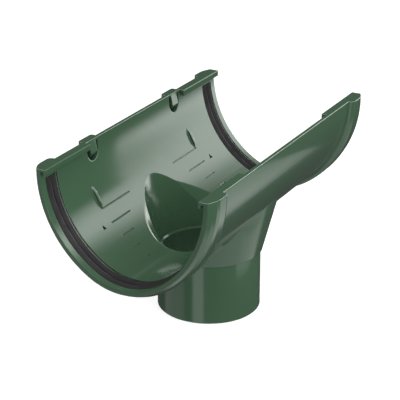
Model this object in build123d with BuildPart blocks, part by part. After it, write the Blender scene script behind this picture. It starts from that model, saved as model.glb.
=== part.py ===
import math
import os

from build123d import *

os.makedirs("parts", exist_ok=True)

# Running outlet for a half-round rain gutter, in millimetres.
# X runs along the trough, +Y is the rear (wall) side, +Z is up.
# The origin is the centre of the spigot's lower end.

# Trough
trough_length = 267.0
half_width = 69.2
bowl_depth = 82.2
bottom_arc_half_angle = 31.6
wall = 2.8
rim_height = 147.5
rim_upstand = 1.9

# Spigot and funnel
spigot_radius = 41.0
spigot_wall = 2.6
spigot_length = 49.5
spigot_lead_in = 1.0
shoulder = 1.6
ledge_height = 1.6
mouth_rise = 35.4
ramp_half_length = 54.0
ramp_half_width = 36.5
ramp_end_angle = 50.2
ramp_inset = 1.1
opening_round = 4.0

# Collars round the seals
collar_length = 23.5
collar_bulge = 4.4
collar_swell = 11.0
collar_round = 3.5
collar_edge = 0.4

# Seals and their grooves
seal_inset = 6.2
groove_width = 14.8
groove_depth = 3.4
seal_below_rim = 8.9
seal_clearance = 0.1
ridge_count = 2
ridge_height = 2.0
ridge_foot = 0.6

# Hooked lips along the rims
lip_length = 61.0
lip_reach = 7.2
lip_plate = 2.0
lip_drop = 4.8
lip_thickness = 1.8
lip_round = 0.5

# Clips on the rear rim
clip_offset = 63.0
clip_block_width = 18.6
clip_block_depth = 4.2
clip_block_height = 16.0
clip_block_slope = 6.0
clip_block_round = 2.0
pocket_width = 15.0
pocket_height = 14.7
pocket_roof = 2.0
pocket_back = 2.4
tongue_width = 9.0
tongue_height = 11.0
tongue_thickness = 1.6
tongue_barb = 1.8
tongue_nose = 3.0

# Stop ribs and insertion gauge on the rear wall
stop_offset = 74.4
stop_thickness = 2.2
stop_height = 1.8
stop_span = 18.4
stop_end_slope = 4.5
gauge_pitch = 12.6
gauge_lengths = (3.0, 7.5, 16.0, 27.0, 40.0)
gauge_line_width = 0.7
gauge_line_depth = 0.5
pointer_gap = 11.0
pointer_size = 4.6
pointer_depth = 1.2

# Worked out from the sizes above
half_length = trough_length / 2
widest_level = rim_height - rim_upstand
bottom_level = widest_level - bowl_depth
arc_angle = math.radians(bottom_arc_half_angle)
arc_ratio = 1 / math.cos(arc_angle) - math.tan(arc_angle)
bottom_radius = (half_width - bowl_depth * arc_ratio) / (1 - arc_ratio)
side_radius = half_width + (bowl_depth - bottom_radius) * math.tan(arc_angle)
bottom_centre_level = bottom_level + bottom_radius
side_centre = half_width - side_radius
cone_foot = spigot_radius + shoulder
mouth_level = bottom_level + mouth_rise
mouth_half_width = side_centre + math.sqrt(side_radius**2 - (widest_level - mouth_level) ** 2)
cone_slope = (mouth_half_width - cone_foot) / (mouth_level - spigot_length)
end_slope = math.tan(math.radians(ramp_end_angle))
side_slope = (mouth_half_width - ramp_inset - ramp_half_width) / mouth_rise
funnel_top = mouth_level + 2 * wall
cone_top = cone_foot + (funnel_top - spigot_length) * cone_slope
groove_middle = half_length - seal_inset - groove_width / 2
seal_top = rim_height - seal_below_rim
curve_steps = 3


def bowl_outline(grow):
    """Draw the bowl's section up to the rim, grown outwards from its outside face."""
    side_sweep = 90 - bottom_arc_half_angle
    bottom_sweep = 2 * bottom_arc_half_angle
    rear_side = CenterArc((side_centre, widest_level), side_radius + grow, 0, -side_sweep)
    CenterArc((0, bottom_centre_level), bottom_radius + grow, -side_sweep, -bottom_sweep)
    front_side = CenterArc((-side_centre, widest_level), side_radius + grow, side_sweep - 180, -side_sweep)
    Polyline(
        front_side @ 1,
        (-half_width - grow, rim_height),
        (half_width + grow, rim_height),
        rear_side @ 0,
    )


def ramp_ellipse(level, end_wall, side_wall):
    """Draw the ramps' section at a level, inside the given walls."""
    rise = level - bottom_level
    Ellipse(
        ramp_half_length + rise * end_slope - end_wall,
        ramp_half_width + rise * side_slope - side_wall,
    )


def on_rear_wall(along, inwards):
    """Point (y, z) off the rear inside face and the wall's tilt, at a distance along it from the bottom."""
    bottom_reach = (bottom_radius - wall) * arc_angle
    if along <= bottom_reach:
        tilt = along / (bottom_radius - wall)
        radius = bottom_radius - wall - inwards
        return radius * math.sin(tilt), bottom_centre_level - radius * math.cos(tilt), tilt
    tilt = arc_angle + (along - bottom_reach) / (side_radius - wall)
    radius = side_radius - wall - inwards
    return side_centre + radius * math.sin(tilt), widest_level - radius * math.cos(tilt), tilt


with BuildPart() as outlet_body:
    # Solid bowl
    with BuildSketch(Plane.YZ):
        with BuildLine():
            bowl_outline(0)
        make_face()
    extrude(amount=half_length, both=True)

    # Swollen collars that hold the seals, rounded over at their inner edge
    collar_steps = []
    for step in range(curve_steps + 1):
        share = step / curve_steps
        swell = (collar_bulge - collar_edge) * math.sin(share * math.pi / 2)
        collar_steps.append((collar_swell * share, collar_edge + swell))
    for step in range(curve_steps + 1):
        turn = step / curve_steps * math.pi / 2
        inset = collar_length - collar_round * (1 - math.sin(turn))
        collar_steps.append((inset, collar_bulge - collar_round * (1 - math.cos(turn))))
    for end in (-1, 1):
        for inset, bulge in collar_steps:
            with BuildSketch(Plane.YZ.offset(end * (half_length - inset))):
                with BuildLine():
                    bowl_outline(bulge)
                make_face()
        loft(ruled=True)

    # Spigot and the round cone of the funnel
    with BuildSketch(Plane.XZ):
        with BuildLine():
            Polyline(
                (0, 0),
                (spigot_radius - spigot_lead_in, 0),
                (spigot_radius, spigot_lead_in),
                (spigot_radius, spigot_length),
                (cone_foot, spigot_length),
                (cone_top, funnel_top),
                (0, funnel_top),
                close=True,
            )
        make_face()
    revolve(axis=Axis.Z)

    # Ramps that widen the funnel along the trough
    for level in (spigot_length, funnel_top):
        with BuildSketch(Plane.XY.offset(level)):
            ramp_ellipse(level, 0, 0)
    loft(ruled=True)

    # Blocks behind the clips
    for side in (-1, 1):
        with BuildSketch(Plane.YZ.offset(side * clip_offset)):
            with BuildLine():
                Polyline(
                    (half_width - wall / 2, rim_height),
                    (half_width + clip_block_depth, rim_height),
                    (half_width + clip_block_depth, rim_height - clip_block_height),
                    (half_width - wall, rim_height - clip_block_height - clip_block_slope),
                    close=True,
                )
            make_face()
        extrude(amount=clip_block_width / 2, both=True)
        block_corners = outlet_body.edges(Select.LAST).filter_by(Axis.Z).group_by(Axis.Y)[-1]
        fillet(block_corners, radius=clip_block_round)

    # Hollow of the bowl
    with BuildSketch(Plane.YZ):
        with BuildLine():
            bowl_outline(-wall)
        make_face()
        with Locations((0, rim_height)):
            Rectangle(2 * (half_width - wall), 2 * wall)
    extrude(amount=half_length + wall, both=True, mode=Mode.SUBTRACT)

    # Hollow of the ramps, with its edge in the trough rounded over
    end_wall = wall * math.hypot(1, end_slope)
    side_wall = wall * math.hypot(1, side_slope)
    for level in (spigot_length, funnel_top):
        with BuildSketch(Plane.XY.offset(level)):
            ramp_ellipse(level, end_wall, side_wall)
    loft(ruled=True, mode=Mode.SUBTRACT)
    opening_edge = outlet_body.edges(Select.NEW).filter_by(GeomType.BSPLINE)
    fillet(opening_edge, radius=opening_round)

    # Bore of the spigot, the ledge above it and the inside of the round cone
    bore = spigot_radius - spigot_wall
    cone_wall = wall * math.hypot(1, cone_slope)
    with BuildSketch(Plane.XZ):
        with BuildLine():
            Polyline(
                (0, -wall),
                (bore, -wall),
                (bore, spigot_length - ledge_height),
                (cone_foot - cone_wall, spigot_length),
                (cone_top - cone_wall, funnel_top),
                (0, funnel_top),
                close=True,
            )
        make_face()
    revolve(axis=Axis.Z, mode=Mode.SUBTRACT)

    # Seal grooves
    for end in (-1, 1):
        with BuildSketch(Plane.YZ.offset(end * groove_middle)):
            with BuildLine():
                bowl_outline(groove_depth - wall)
            make_face()
            with Locations((0, seal_top + half_width)):
                Rectangle(4 * half_width, 2 * half_width, mode=Mode.SUBTRACT)
        extrude(amount=groove_width / 2, both=True, mode=Mode.SUBTRACT)

    # Hooked lips from each end along both rims
    lip_inner = half_width - lip_reach
    lip_root = half_width - wall / 2
    for end in (-1, 1):
        for side in (-1, 1):
            with BuildSketch(Plane.YZ.offset(end * (half_length - lip_length / 2))):
                with BuildLine():
                    FilletPolyline(
                        (side * lip_root, rim_height),
                        (side * lip_inner, rim_height),
                        (side * lip_inner, rim_height - lip_drop),
                        (side * (lip_inner + lip_thickness), rim_height - lip_drop),
                        (side * (lip_inner + lip_thickness), rim_height - lip_plate),
                        (side * lip_root, rim_height - lip_plate),
                        radius=lip_round,
                        close=True,
                    )
                make_face()
            extrude(amount=lip_length / 2, both=True)

    # Clip pockets, round at the bottom, with a barbed spring tongue in each
    pocket_floor = half_width + clip_block_depth - pocket_back
    pocket_round = pocket_width / 2
    tongue_top = rim_height - pocket_roof
    tongue_face = half_width - wall
    for side in (-1, 1):
        with BuildSketch(Plane.XZ.offset(-pocket_floor)):
            with Locations((side * clip_offset, tongue_top - (pocket_height - pocket_round) / 2)):
                Rectangle(pocket_width, pocket_height - pocket_round)
            with Locations((side * clip_offset, tongue_top - pocket_height + pocket_round)):
                Circle(pocket_round)
        extrude(amount=pocket_floor - lip_inner, mode=Mode.SUBTRACT)
        with BuildSketch(Plane.YZ.offset(side * clip_offset)):
            with BuildLine():
                Polyline(
                    (tongue_face, tongue_top + pocket_roof / 2),
                    (tongue_face - tongue_barb, tongue_top - tongue_height + tongue_nose),
                    (tongue_face, tongue_top - tongue_height),
                    (tongue_face + tongue_thickness, tongue_top - tongue_height),
                    (tongue_face + tongue_thickness, tongue_top + pocket_roof / 2),
                    close=True,
                )
            make_face()
        extrude(amount=tongue_width / 2, both=True)

    # Stop ribs, which the gutter's ends butt against
    stop_start = gauge_pitch * len(gauge_lengths)
    stop_end = stop_start + stop_span
    stop_outline = (
        (stop_start, -wall / 2),
        (stop_start, 0),
        (stop_start + stop_end_slope, stop_height),
        (stop_end - stop_end_slope, stop_height),
        (stop_end, 0),
        (stop_end, -wall / 2),
    )
    for side in (-1, 1):
        with BuildSketch(Plane.YZ.offset(side * stop_offset)):
            with BuildLine():
                Polyline(*[on_rear_wall(along, inwards)[:2] for along, inwards in stop_outline], close=True)
            make_face()
        extrude(amount=stop_thickness / 2, both=True)

    # Insertion gauge: engraved lines, shorter towards the bottom, and a pointer beside them
    for side in (-1, 1):
        for place, line_length in enumerate(gauge_lengths, start=1):
            y, z, tilt = on_rear_wall(gauge_pitch * place, 0)
            line_middle = side * (stop_offset - line_length / 2)
            with Locations(Location((line_middle, y, z), (math.degrees(tilt), 0, 0))):
                Box(line_length, gauge_line_width, 2 * gauge_line_depth, mode=Mode.SUBTRACT)
        y, z, tilt = on_rear_wall(gauge_pitch * (len(gauge_lengths) - 1), 0)
        pointer_place = Location((side * (stop_offset + pointer_gap), y, z), (math.degrees(tilt), 0, 0))
        with BuildSketch(Plane(pointer_place).offset(-pointer_depth)):
            RegularPolygon(radius=pointer_size / 2, side_count=3, rotation=90)
        extrude(amount=pointer_depth + wall, mode=Mode.SUBTRACT)

outlet_body.part.label = "outlet_body"
export_step(outlet_body.part, "parts/outlet_body.step")


# Rubber strip bedded in the groove at the right-hand end.
# Its inside face has sharp ridges that press on the gutter.
with BuildPart() as right_seal:
    seal_width = groove_width - 2 * seal_clearance
    with BuildSketch(Plane.YZ.offset(groove_middle)):
        with BuildLine():
            bowl_outline(groove_depth - wall - seal_clearance)
        make_face()
    extrude(amount=seal_width / 2, both=True)
    flanks = 2 * ridge_count
    for flank in range(flanks + 1):
        place = groove_middle + seal_width * (flank / flanks - 0.5)
        crest = ridge_height * (flank % 2)
        with BuildSketch(Plane.YZ.offset(place)):
            with BuildLine():
                bowl_outline(ridge_foot - wall - crest)
            make_face()
    loft(ruled=True, mode=Mode.SUBTRACT)
    split(bisect_by=Plane.XY.offset(seal_top - seal_clearance), keep=Keep.BOTTOM)

right_seal.part.label = "right_seal"
export_step(right_seal.part, "parts/right_seal.step")

# The same strip at the left-hand end
with BuildPart() as left_seal:
    mirror(right_seal.part, about=Plane.YZ)

left_seal.part.label = "left_seal"
export_step(left_seal.part, "parts/left_seal.step")
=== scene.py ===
import math

import bmesh
import bpy
from bpy.props import FloatProperty, FloatVectorProperty, PointerProperty
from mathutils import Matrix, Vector

bl_info = {
    "name": "Gutter Outlet Finish",
    "version": (1, 0, 0),
    "blender": (4, 5, 0),
    "location": "View3D > Sidebar > Gutter Outlet",
    "description": "Gives a half-round gutter outlet its plastic, its rubber seals and a studio",
    "category": "Object",
}

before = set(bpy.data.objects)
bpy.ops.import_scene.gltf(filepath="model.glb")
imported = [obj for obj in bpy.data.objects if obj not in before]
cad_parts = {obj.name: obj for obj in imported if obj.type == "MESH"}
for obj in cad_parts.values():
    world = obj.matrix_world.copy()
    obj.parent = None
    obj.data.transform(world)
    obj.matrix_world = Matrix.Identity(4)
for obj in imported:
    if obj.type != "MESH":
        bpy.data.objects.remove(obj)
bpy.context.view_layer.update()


# Fixed values, with lengths in metres and angles in degrees

MASK_SAMPLES = 8

# Where the painted edge highlight starts and where it is full, by how alike the rounded and the
# flat normal are, and by how far the rounded one points upward
EDGE_MATCH = (0.98, 0.80)
HIGHLIGHT_UPWARD = (0.15, 0.45)

PATCH_DETAIL = 3.0
PATCH_DISTORTION = 0.6
PATCH_SPREAD = (0.25, 0.75)
SKIN_DETAIL = 2.0
SKIN_ROUGHNESS = 0.4
SKIN_DEPTH = 0.0002

PLASTIC_SKIN = {"patch_scale": 9.0, "skin_scale": 420.0}
PLASTIC_BUMP = 0.015
PLASTIC_PATCH_ROUGHNESS = 0.05
PLASTIC_IOR = 1.5
# Painted shade in the bore: how far the occlusion mask looks, and where the shade begins and
# where it is full
BORE_SHADE_MASK = {"reach": 0.15, "open": 0.43, "closed": 0.2}

# Painted edge highlights show from the lower height up, and have their full share above the
# other
HIGHLIGHT_HEIGHTS = (0.085, 0.125)
HIGHLIGHT_SHARE = 0.9

RUBBER_SKIN = {"patch_scale": 60.0, "skin_scale": 900.0}
RUBBER_BUMP = 0.2
RUBBER_PATCH_ROUGHNESS = 0.12
# Painted shade between the seal's ridges: how far the occlusion mask looks, and where the shade
# begins and is full
VALLEY_SHADE_MASK = {"reach": 0.003, "open": 0.95, "closed": 0.65}
BLOOM_SHARE = 0.6

WHITE = (1.0, 1.0, 1.0, 1.0)
BLACK = (0.0, 0.0, 0.0, 1.0)

# Soft panels that glossy faces see: turns from +X, rises above level, and softness each way
SHEEN_SOFTBOX = {"turns": (-36.4, 6.0), "rises": (-12.0, 30.5), "softs": (3.0, 5.0)}
LOW_SOFTBOX = {"turns": (-68.0, -29.0), "rises": (-52.0, -37.0), "softs": (4.0, 2.0)}
STRIP_SOFTBOX = {"turns": (173.0, 195.0), "rises": (-50.0, -5.0), "softs": (2.0, 2.0)}
REAR_SOFTBOX = {"turns": (96.0, 148.0), "rises": (-42.0, -10.0), "softs": (6.0, 6.0)}

# The glow from below fills the reflections that reach this far down and this far along +X
UNDER_DOWN = (0.69, 2.0)
UNDER_ALONG = (-2.0, 0.47)
UNDER_SOFTNESS = 0.05

# The even light has its low share below the first rise, and is full above the second
SKY_RISE = (-0.9, -0.2)
SKY_LOW_SHARE = 0.3
SEEN_SKY_STRENGTH = 1.0

FLOOR_ROUGHNESS = 0.9

# The card's glow falls to its far share between two X, and has its inner share up to the first Y
# and all of it from the second
CARD_SIZE = (0.30, 0.15)
CARD_PLACE = (0.13, -0.187, 0.001)
CARD_ALONG = (0.08, 0.28)
CARD_FAR_SHARE = 0.4
CARD_ACROSS = (-0.11, -0.14)
CARD_INNER_SHARE = 0.4

LIGHT_TARGET = (0.0, 0.0, 0.1)
KEY_PANEL = {"place": (-0.4, -1.5, 0.8), "width": 1.2, "height": 0.8}
SIDE_PANEL = {"place": (1.1, -0.5, 0.5), "width": 1.0, "height": 0.8}
FILL_PANEL = {"place": (-0.5, -0.85, 1.1), "width": 0.8, "height": 0.8}

SENSOR_WIDTH_MM = 36.0
LEVEL_VIEW = 90.0
CLIP_END = 50.0


# Sizes and colours a user would change


class PlasticSettings(bpy.types.PropertyGroup):
    colour: FloatVectorProperty(
        name="Colour",
        description="Main green of the moulding",
        subtype="COLOR",
        size=3,
        min=0.0,
        max=1.0,
        default=(0.064, 0.132, 0.075),
    )
    shade_colour: FloatVectorProperty(
        name="Shade Colour",
        description="Slightly darker green of the flow patches",
        subtype="COLOR",
        size=3,
        min=0.0,
        max=1.0,
        default=(0.059, 0.121, 0.069),
    )
    # Painted highlight: paler green laid on upward-facing rim edges, standing in for the glint
    # on their rounded edges
    edge_highlight_colour: FloatVectorProperty(
        name="Edge Highlight Colour",
        description="Paler green where an edge is rubbed",
        subtype="COLOR",
        size=3,
        min=0.0,
        max=1.0,
        default=(0.52, 0.62, 0.55),
    )
    # Painted shade: darker green laid deep in the bore where the occlusion mask finds it closed
    # in
    bore_shade_colour: FloatVectorProperty(
        name="Bore Shade Colour",
        description="Darker green where painted shade gathers deep in the bore",
        subtype="COLOR",
        size=3,
        min=0.0,
        max=1.0,
        default=(0.018, 0.036, 0.021),
    )
    roughness: FloatProperty(
        name="Roughness",
        description="Roughness of the glossy moulded face",
        subtype="FACTOR",
        min=0.0,
        max=1.0,
        default=0.13,
    )
    edge_radius: FloatProperty(
        name="Edge Radius",
        description="Radius that the mould leaves on every edge",
        unit="LENGTH",
        min=0.0,
        default=0.0008,
    )


class RubberSettings(bpy.types.PropertyGroup):
    colour: FloatVectorProperty(
        name="Colour",
        description="Colour of the seal",
        subtype="COLOR",
        size=3,
        min=0.0,
        max=1.0,
        default=(0.036, 0.034, 0.036),
    )
    bloom_colour: FloatVectorProperty(
        name="Bloom Colour",
        description="Greyer colour of the faint bloom on the seal",
        subtype="COLOR",
        size=3,
        min=0.0,
        max=1.0,
        default=(0.054, 0.051, 0.053),
    )
    # Painted shade: near-black laid between the seal's ridges where the occlusion mask finds
    # them closed in
    valley_shade_colour: FloatVectorProperty(
        name="Valley Shade Colour",
        description="Darker colour between the ridges",
        subtype="COLOR",
        size=3,
        min=0.0,
        max=1.0,
        default=(0.006, 0.006, 0.006),
    )
    roughness: FloatProperty(
        name="Roughness",
        description="Roughness of the rubber",
        subtype="FACTOR",
        min=0.0,
        max=1.0,
        default=0.3,
    )
    edge_radius: FloatProperty(
        name="Edge Radius",
        description="Radius on the seal's ridges and edges",
        unit="LENGTH",
        min=0.0,
        default=0.0005,
    )


class StudioSettings(bpy.types.PropertyGroup):
    floor_size: FloatProperty(
        name="Floor Size",
        description="Side of the pale floor",
        unit="LENGTH",
        min=0.0,
        default=14.0,
    )
    floor_colour: FloatVectorProperty(
        name="Floor Colour",
        description="Colour of the pale floor",
        subtype="COLOR",
        size=3,
        min=0.0,
        max=1.0,
        default=(0.88, 0.88, 0.88),
    )
    floor_glow: FloatProperty(
        name="Floor Glow",
        description="Light that the floor itself gives, which keeps it white",
        min=0.0,
        default=0.55,
    )
    sky_strength: FloatProperty(
        name="Sky Strength",
        description="Strength of the even white light all round",
        min=0.0,
        default=0.45,
    )
    dark_strength: FloatProperty(
        name="Dark Strength",
        description="Brightness that glossy faces reflect between the soft panels",
        min=0.0,
        default=0.07,
    )
    sheen_strength: FloatProperty(
        name="Sheen Strength",
        description="Brightness of the wide panel that the rear wall reflects",
        min=0.0,
        default=3.75,
    )
    low_strength: FloatProperty(
        name="Low Strength",
        description="Brightness of the low panel that the funnel's outside reflects",
        min=0.0,
        default=1.05,
    )
    card_strength: FloatProperty(
        name="Card Strength",
        description="Brightness of the low card that the front wall reflects",
        min=0.0,
        default=1.1,
    )
    strip_strength: FloatProperty(
        name="Strip Strength",
        description="Brightness of the narrow panel that the spigot reflects",
        min=0.0,
        default=1.4,
    )
    rear_strength: FloatProperty(
        name="Rear Strength",
        description="Brightness of the broad panel on the wall side",
        min=0.0,
        default=0.6,
    )
    under_strength: FloatProperty(
        name="Under Strength",
        description="Brightness that glossy faces reflect from straight below",
        min=0.0,
        default=0.9,
    )
    key_power: FloatProperty(
        name="Key Light Power",
        description="Power of the soft light in front",
        unit="POWER",
        min=0.0,
        default=7.0,
    )
    side_power: FloatProperty(
        name="Side Light Power",
        description="Power of the soft light on the right-hand side",
        unit="POWER",
        min=0.0,
        default=3.0,
    )
    fill_power: FloatProperty(
        name="Fill Light Power",
        description="Power of the shadowless fill light, which opens the funnel's inside",
        unit="POWER",
        min=0.0,
        default=9.5,
    )
    camera_place: FloatVectorProperty(
        name="Camera Place",
        description="Where the camera stands",
        subtype="TRANSLATION",
        unit="LENGTH",
        size=3,
        default=(-0.9699, -0.5121, 0.5421),
    )
    camera_down: FloatProperty(
        name="Camera Down",
        description="How far the camera looks below the horizon",
        subtype="ANGLE",
        default=math.radians(22.486),
    )
    camera_turn: FloatProperty(
        name="Camera Turn",
        description="How far the camera is turned from the rear wall towards the right-hand end",
        subtype="ANGLE",
        default=math.radians(61.80),
    )
    lens: FloatProperty(
        name="Lens",
        description="Focal length on a 36 mm sensor, in millimetres",
        unit="CAMERA",
        min=1.0,
        default=136.5,
    )


# Node helpers, which take an output or a plain value for each socket


def feed(links, socket, value):
    """Link an output to a socket, or set the socket to a plain value."""
    if isinstance(value, bpy.types.NodeSocket):
        links.new(value, socket)
    else:
        socket.default_value = value


def add_maths(nodes, links, operation, first, second):
    """Result of a sum on two values."""
    node = nodes.new("ShaderNodeMath")
    node.operation = operation
    feed(links, node.inputs[0], first)
    feed(links, node.inputs[1], second)
    return node.outputs["Value"]


def add_range(nodes, links, value, bounds=(0.0, 1.0), low=0.0, high=1.0, curve="LINEAR"):
    """Value mapped from its bounds onto low to high, and held there past them."""
    ranged = nodes.new("ShaderNodeMapRange")
    ranged.interpolation_type = curve
    feed(links, ranged.inputs["Value"], value)
    feed(links, ranged.inputs["From Min"], bounds[0])
    feed(links, ranged.inputs["From Max"], bounds[1])
    feed(links, ranged.inputs["To Min"], low)
    feed(links, ranged.inputs["To Max"], high)
    return ranged.outputs["Result"]


def mix_values(nodes, links, factor, first, second):
    """Value between two others."""
    mix = nodes.new("ShaderNodeMix")
    feed(links, mix.inputs["Factor"], factor)
    feed(links, mix.inputs["A"], first)
    feed(links, mix.inputs["B"], second)
    return mix.outputs["Result"]


def mix_colours(nodes, links, factor, first, second):
    """Colour between two others, from the Mix node's own colour sockets."""
    mix = nodes.new("ShaderNodeMix")
    mix.data_type = "RGBA"
    first_colour, second_colour = mix.inputs[6:8]
    feed(links, mix.inputs["Factor"], factor)
    feed(links, first_colour, first)
    feed(links, second_colour, second)
    return mix.outputs[2]


def opaque(colour):
    """Colour of a setting, with full alpha."""
    return (*colour, 1.0)


# Shader groups that both materials share


def new_group(name, inputs, outputs):
    """Empty shader group with its sockets, given as names and kinds."""
    group = bpy.data.node_groups.new(name, "ShaderNodeTree")
    for side, sockets in (("INPUT", inputs), ("OUTPUT", outputs)):
        for socket, kind in sockets.items():
            group.interface.new_socket(socket, in_out=side, socket_type=kind)
    given = group.nodes.new("NodeGroupInput").outputs
    result = group.nodes.new("NodeGroupOutput").inputs
    return group, group.nodes, group.links, given, result


def make_edge_group():
    """Normal rounded by a bevel radius, and a mask of the upward-facing edges that take a
    painted highlight.
    """
    group, nodes, links, given, result = new_group(
        "Rounded Edges",
        inputs={"Radius": "NodeSocketFloat"},
        outputs={"Normal": "NodeSocketVector", "Edge": "NodeSocketFloat"},
    )
    bevel = nodes.new("ShaderNodeBevel")
    bevel.samples = MASK_SAMPLES
    links.new(given["Radius"], bevel.inputs["Radius"])
    rounded = bevel.outputs["Normal"]
    face = nodes.new("ShaderNodeNewGeometry")
    match = nodes.new("ShaderNodeVectorMath")
    match.operation = "DOT_PRODUCT"
    links.new(rounded, match.inputs[0])
    links.new(face.outputs["Normal"], match.inputs[1])
    turned = nodes.new("ShaderNodeSeparateXYZ")
    links.new(rounded, turned.inputs["Vector"])
    edge = add_range(nodes, links, match.outputs["Value"], EDGE_MATCH)
    upward = add_range(nodes, links, turned.outputs["Z"], HIGHLIGHT_UPWARD)
    links.new(rounded, result["Normal"])
    links.new(add_maths(nodes, links, "MULTIPLY", edge, upward), result["Edge"])
    return group


def make_skin_group():
    """Broad flow patches and a fine skin texture, read in object coordinates."""
    group, nodes, links, given, result = new_group(
        "Moulded Skin",
        inputs={"Patch Scale": "NodeSocketFloat", "Skin Scale": "NodeSocketFloat"},
        outputs={"Patches": "NodeSocketFloat", "Skin": "NodeSocketFloat"},
    )
    place = nodes.new("ShaderNodeTexCoord").outputs["Object"]
    patches = nodes.new("ShaderNodeTexNoise")
    patches.inputs["Detail"].default_value = PATCH_DETAIL
    patches.inputs["Distortion"].default_value = PATCH_DISTORTION
    skin = nodes.new("ShaderNodeTexNoise")
    skin.inputs["Detail"].default_value = SKIN_DETAIL
    skin.inputs["Roughness"].default_value = SKIN_ROUGHNESS
    for noise, scale in ((patches, given["Patch Scale"]), (skin, given["Skin Scale"])):
        links.new(place, noise.inputs["Vector"])
        links.new(scale, noise.inputs["Scale"])
    spread = add_range(nodes, links, patches.outputs["Fac"], PATCH_SPREAD, curve="SMOOTHERSTEP")
    links.new(spread, result["Patches"])
    links.new(skin.outputs["Fac"], result["Skin"])
    return group


def make_shelter_group():
    """Mask of the places that open air hardly reaches, such as a bore or a gap, where the
    materials paint shade.
    """
    group, nodes, links, given, result = new_group(
        "Shelter",
        inputs={name: "NodeSocketFloat" for name in ("Reach", "Open", "Closed")},
        outputs={"Sheltered": "NodeSocketFloat"},
    )
    air = nodes.new("ShaderNodeAmbientOcclusion")
    air.samples = MASK_SAMPLES
    links.new(given["Reach"], air.inputs["Distance"])
    bounds = (given["Open"], given["Closed"])
    sheltered = add_range(nodes, links, air.outputs["AO"], bounds, curve="SMOOTHSTEP")
    links.new(sheltered, result["Sheltered"])
    return group


def add_group(nodes, name, make, **values):
    """Outputs of a shared group, made on first use and placed with its own values."""
    node = nodes.new("ShaderNodeGroup")
    node.node_tree = bpy.data.node_groups.get(name) or make()
    for socket, value in values.items():
        node.inputs[socket.replace("_", " ").title()].default_value = value
    return node.outputs


# Materials


def new_material(name):
    """Node material with its Principled shader."""
    material = bpy.data.materials.new(name)
    material.use_nodes = True
    nodes, links = material.node_tree.nodes, material.node_tree.links
    return material, nodes, links, nodes["Principled BSDF"]


def finish_surface(nodes, links, shader, colour, rough, skin, edges, bump_strength):
    """Lead colour, roughness and a finely bumped, rounded normal to the shader."""
    bump = nodes.new("ShaderNodeBump")
    bump.inputs["Strength"].default_value = bump_strength
    bump.inputs["Distance"].default_value = SKIN_DEPTH
    links.new(skin["Skin"], bump.inputs["Height"])
    links.new(edges["Normal"], bump.inputs["Normal"])
    links.new(colour, shader.inputs["Base Color"])
    links.new(rough, shader.inputs["Roughness"])
    links.new(bump.outputs["Normal"], shader.inputs["Normal"])


def make_plastic(settings):
    """Glossy green PVC with soft flow patches, painted shade in the bore and painted highlights
    on upward rim edges.
    """
    material, nodes, links, shader = new_material("Green Moulded Plastic")
    edges = add_group(nodes, "Rounded Edges", make_edge_group, radius=settings.edge_radius)
    skin = add_group(nodes, "Moulded Skin", make_skin_group, **PLASTIC_SKIN)
    bore = add_group(nodes, "Shelter", make_shelter_group, **BORE_SHADE_MASK)
    colour = mix_colours(
        nodes, links, skin["Patches"], opaque(settings.colour), opaque(settings.shade_colour)
    )
    # Painted shade: the bore darkens towards the deep colour where the occlusion mask is closed
    colour = mix_colours(nodes, links, bore["Sheltered"], colour, opaque(settings.bore_shade_colour))
    # Painted highlight: paler green on upward-facing edges, fading in over the given heights
    height = nodes.new("ShaderNodeSeparateXYZ")
    links.new(nodes.new("ShaderNodeTexCoord").outputs["Object"], height.inputs["Vector"])
    highlight_band = add_range(nodes, links, height.outputs["Z"], HIGHLIGHT_HEIGHTS, high=HIGHLIGHT_SHARE)
    highlighted = add_maths(nodes, links, "MULTIPLY", edges["Edge"], highlight_band)
    colour = mix_colours(nodes, links, highlighted, colour, opaque(settings.edge_highlight_colour))
    roughest = settings.roughness + PLASTIC_PATCH_ROUGHNESS
    rough = add_range(nodes, links, skin["Patches"], low=settings.roughness, high=roughest)
    finish_surface(nodes, links, shader, colour, rough, skin, edges, PLASTIC_BUMP)
    shader.inputs["IOR"].default_value = PLASTIC_IOR
    return material


def make_rubber(settings):
    """Satin black rubber with a faint grey bloom and painted shade between its ridges."""
    material, nodes, links, shader = new_material("Seal Rubber")
    edges = add_group(nodes, "Rounded Edges", make_edge_group, radius=settings.edge_radius)
    skin = add_group(nodes, "Moulded Skin", make_skin_group, **RUBBER_SKIN)
    valley_shade = add_group(nodes, "Shelter", make_shelter_group, **VALLEY_SHADE_MASK)
    bloom = add_range(nodes, links, skin["Patches"], high=BLOOM_SHARE)
    colour = mix_colours(
        nodes, links, bloom, opaque(settings.colour), opaque(settings.bloom_colour)
    )
    valley_shade_colour = opaque(settings.valley_shade_colour)
    # Painted shade: the valleys between the ridges darken towards the valley colour
    colour = mix_colours(nodes, links, valley_shade["Sheltered"], colour, valley_shade_colour)
    roughest = settings.roughness + RUBBER_PATCH_ROUGHNESS
    rough = add_range(nodes, links, skin["Patches"], low=settings.roughness, high=roughest)
    finish_surface(nodes, links, shader, colour, rough, skin, edges, RUBBER_BUMP)
    return material


def dress(node, material):
    """Give a CAD node its material."""
    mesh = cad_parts[node].data
    mesh.materials.clear()
    mesh.materials.append(material)


class OUTLET_OT_finish_body(bpy.types.Operator):
    """Give the moulded body its green plastic"""

    bl_idname = "outlet.finish_body"
    bl_label = "Finish Body"

    def execute(self, context):
        dress("outlet_body", make_plastic(context.scene.outlet_plastic))
        return {"FINISHED"}


class OUTLET_OT_finish_seals(bpy.types.Operator):
    """Give both end seals their rubber"""

    bl_idname = "outlet.finish_seals"
    bl_label = "Finish Seals"

    def execute(self, context):
        rubber = make_rubber(context.scene.outlet_rubber)
        for node in ("left_seal", "right_seal"):
            dress(node, rubber)
        return {"FINISHED"}


# Stage


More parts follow.
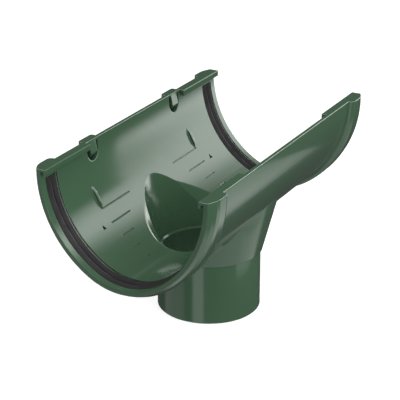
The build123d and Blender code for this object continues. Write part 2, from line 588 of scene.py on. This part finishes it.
def add_reach(nodes, links, ray, way):
    """How far a ray goes along a direction, from -1 to 1."""
    reach = nodes.new("ShaderNodeVectorMath")
    reach.operation = "DOT_PRODUCT"
    feed(links, reach.inputs[0], ray)
    feed(links, reach.inputs[1], way)
    return reach.outputs["Value"]


def add_fade(nodes, links, value, low, high, softness):
    """Mask that is 1 between two bounds and fades out softly past them."""
    offset = add_maths(nodes, links, "SUBTRACT", value, (low + high) / 2)
    offset = add_maths(nodes, links, "ABSOLUTE", offset, 0.0)
    half = (high - low) / 2
    bounds = (half + softness, half - softness)
    return add_range(nodes, links, offset, bounds, curve="SMOOTHSTEP")


def add_softbox(nodes, links, ray, strength, turns, rises, softs):
    """Soft-edged panel that glossy faces see, between two turns and two rises."""
    turn = math.radians(sum(turns) / 2)
    half_width = math.sin(math.radians(turns[1] - turns[0]) / 2)
    low, high = (math.sin(math.radians(rise)) for rise in rises)
    side_softness, end_softness = (math.sin(math.radians(soft)) for soft in softs)
    ahead = add_reach(nodes, links, ray, (math.cos(turn), math.sin(turn), 0.0))
    aside = add_reach(nodes, links, ray, (-math.sin(turn), math.cos(turn), 0.0))
    upward = add_reach(nodes, links, ray, (0.0, 0.0, 1.0))
    across = add_fade(nodes, links, aside, -half_width, half_width, side_softness)
    along = add_fade(nodes, links, upward, low, high, end_softness)
    front = add_maths(nodes, links, "GREATER_THAN", ahead, 0.0)
    shape = add_maths(nodes, links, "MULTIPLY", across, along)
    shape = add_maths(nodes, links, "MULTIPLY", shape, front)
    return add_maths(nodes, links, "MULTIPLY", shape, strength)


def make_world(studio):
    """White studio that lights evenly and shows soft panels in glossy faces."""
    world = bpy.data.worlds.new("Studio")
    world.use_nodes = True
    nodes, links = world.node_tree.nodes, world.node_tree.links
    ray = nodes.new("ShaderNodeTexCoord").outputs["Generated"]
    down = add_reach(nodes, links, ray, (0.0, 0.0, -1.0))
    along = add_reach(nodes, links, ray, (1.0, 0.0, 0.0))
    below = add_fade(nodes, links, down, *UNDER_DOWN, UNDER_SOFTNESS)
    nearby = add_fade(nodes, links, along, *UNDER_ALONG, UNDER_SOFTNESS)
    below = add_maths(nodes, links, "MULTIPLY", below, nearby)
    below = add_maths(nodes, links, "MULTIPLY", below, studio.under_strength)
    panels = add_maths(nodes, links, "MAXIMUM", below, studio.dark_strength)
    for softbox, strength in (
        (SHEEN_SOFTBOX, studio.sheen_strength),
        (LOW_SOFTBOX, studio.low_strength),
        (STRIP_SOFTBOX, studio.strip_strength),
        (REAR_SOFTBOX, studio.rear_strength),
    ):
        glow = add_softbox(nodes, links, ray, strength, **softbox)
        panels = add_maths(nodes, links, "MAXIMUM", glow, panels)
    upward = add_reach(nodes, links, ray, (0.0, 0.0, 1.0))
    full = studio.sky_strength
    even = add_range(nodes, links, upward, SKY_RISE, low=SKY_LOW_SHARE * full, high=full)
    path = nodes.new("ShaderNodeLightPath").outputs
    lit = mix_values(nodes, links, path["Is Glossy Ray"], even, panels)
    seen = mix_values(nodes, links, path["Is Camera Ray"], lit, SEEN_SKY_STRENGTH)
    sky = nodes["Background"]
    sky.inputs["Color"].default_value = WHITE
    links.new(seen, sky.inputs["Strength"])
    return world


def add_plate(name, width, depth, place=(0.0, 0.0, 0.0)):
    """Level rectangle of one face, with its middle at a place."""
    mesh = bpy.data.meshes.new(name)
    shape = bmesh.new()
    # A grid of size 0.5 is a metre square, which the scale makes the plate's own size
    bmesh.ops.create_grid(shape, x_segments=1, y_segments=1, size=0.5)
    bmesh.ops.scale(shape, vec=(width, depth, 1.0), verts=shape.verts)
    bmesh.ops.translate(shape, vec=place, verts=shape.verts)
    shape.to_mesh(mesh)
    shape.free()
    plate = bpy.data.objects.new(name, mesh)
    bpy.context.scene.collection.objects.link(plate)
    return plate


def lay_floor(studio):
    """Pale floor that stays white and neither shades nor tints the outlet."""
    floor = add_plate("Floor", studio.floor_size, studio.floor_size)
    material, _, _, shader = new_material("Pale Floor")
    shader.inputs["Base Color"].default_value = opaque(studio.floor_colour)
    shader.inputs["Roughness"].default_value = FLOOR_ROUGHNESS
    shader.inputs["Emission Color"].default_value = WHITE
    shader.inputs["Emission Strength"].default_value = studio.floor_glow
    floor.data.materials.append(material)
    floor.visible_glossy = False
    floor.visible_diffuse = False
    floor.visible_shadow = False


def lay_card(studio):
    """Low white card on the floor, seen only in glossy faces."""
    card = add_plate("Card", *CARD_SIZE, CARD_PLACE)
    material, nodes, links, shader = new_material("White Card")
    shader.inputs["Base Color"].default_value = BLACK
    shader.inputs["Emission Color"].default_value = WHITE
    place = nodes.new("ShaderNodeSeparateXYZ")
    links.new(nodes.new("ShaderNodeTexCoord").outputs["Object"], place.inputs["Vector"])
    full = studio.card_strength
    dimmed = add_range(
        nodes, links, place.outputs["X"], CARD_ALONG, low=full, high=CARD_FAR_SHARE * full
    )
    fading = add_range(nodes, links, place.outputs["Y"], CARD_ACROSS, low=CARD_INNER_SHARE)
    glow = add_maths(nodes, links, "MULTIPLY", dimmed, fading)
    links.new(glow, shader.inputs["Emission Strength"])
    card.data.materials.append(material)
    card.visible_camera = False
    card.visible_diffuse = False
    card.visible_shadow = False


def add_panel(name, power, place, width, height, shadow=True):
    """Rectangular soft light aimed at the outlet, which lights but isn't seen."""
    light = bpy.data.lights.new(name, "AREA")
    light.shape = "RECTANGLE"
    light.size = width
    light.size_y = height
    light.energy = power
    light.use_shadow = shadow
    panel = bpy.data.objects.new(name, light)
    panel.location = place
    aim = Vector(LIGHT_TARGET) - Vector(place)
    panel.rotation_euler = aim.to_track_quat("-Z", "Y").to_euler()
    panel.visible_camera = False
    panel.visible_glossy = False
    bpy.context.scene.collection.objects.link(panel)


def set_camera(studio):
    """Camera at the photograph's viewing angle."""
    lens = bpy.data.cameras.new("Camera")
    lens.sensor_width = SENSOR_WIDTH_MM
    lens.lens = studio.lens
    lens.clip_end = CLIP_END
    camera = bpy.data.objects.new("Camera", lens)
    camera.location = studio.camera_place
    tilt = math.radians(LEVEL_VIEW) - studio.camera_down
    camera.rotation_euler = (tilt, 0.0, -studio.camera_turn)
    bpy.context.scene.collection.objects.link(camera)
    bpy.context.scene.camera = camera


class OUTLET_OT_set_stage(bpy.types.Operator):
    """Lay the pale floor and set the soft lights and the camera"""

    bl_idname = "outlet.set_stage"
    bl_label = "Set Stage"

    def execute(self, context):
        studio = context.scene.outlet_studio
        lay_floor(studio)
        lay_card(studio)
        context.scene.world = make_world(studio)
        context.scene.view_settings.view_transform = "Standard"
        add_panel("Key Light", studio.key_power, **KEY_PANEL)
        add_panel("Side Light", studio.side_power, **SIDE_PANEL)
        add_panel("Fill Light", studio.fill_power, shadow=False, **FILL_PANEL)
        set_camera(studio)
        return {"FINISHED"}


class OUTLET_PT_finish(bpy.types.Panel):
    """Sidebar panel that lists the outlet's operators and settings"""

    bl_idname = "OUTLET_PT_finish"
    bl_label = "Gutter Outlet"
    bl_space_type = "VIEW_3D"
    bl_region_type = "UI"
    bl_category = "Gutter Outlet"

    def draw(self, context):
        layout = self.layout
        for operator, settings in (
            (OUTLET_OT_finish_body, context.scene.outlet_plastic),
            (OUTLET_OT_finish_seals, context.scene.outlet_rubber),
            (OUTLET_OT_set_stage, context.scene.outlet_studio),
        ):
            layout.operator(operator.bl_idname)
            for name in settings.__annotations__:
                layout.prop(settings, name)


CLASSES = (
    PlasticSettings,
    RubberSettings,
    StudioSettings,
    OUTLET_OT_finish_body,
    OUTLET_OT_finish_seals,
    OUTLET_OT_set_stage,
    OUTLET_PT_finish,
)


def register():
    for cls in CLASSES:
        bpy.utils.register_class(cls)
    bpy.types.Scene.outlet_plastic = PointerProperty(type=PlasticSettings)
    bpy.types.Scene.outlet_rubber = PointerProperty(type=RubberSettings)
    bpy.types.Scene.outlet_studio = PointerProperty(type=StudioSettings)


def unregister():
    del bpy.types.Scene.outlet_studio
    del bpy.types.Scene.outlet_rubber
    del bpy.types.Scene.outlet_plastic
    for cls in reversed(CLASSES):
        bpy.utils.unregister_class(cls)


def main():
    """Dress the outlet and set the stage."""
    register()
    bpy.ops.outlet.finish_body()
    bpy.ops.outlet.finish_seals()
    bpy.ops.outlet.set_stage()


if __name__ == "__main__":
    main()
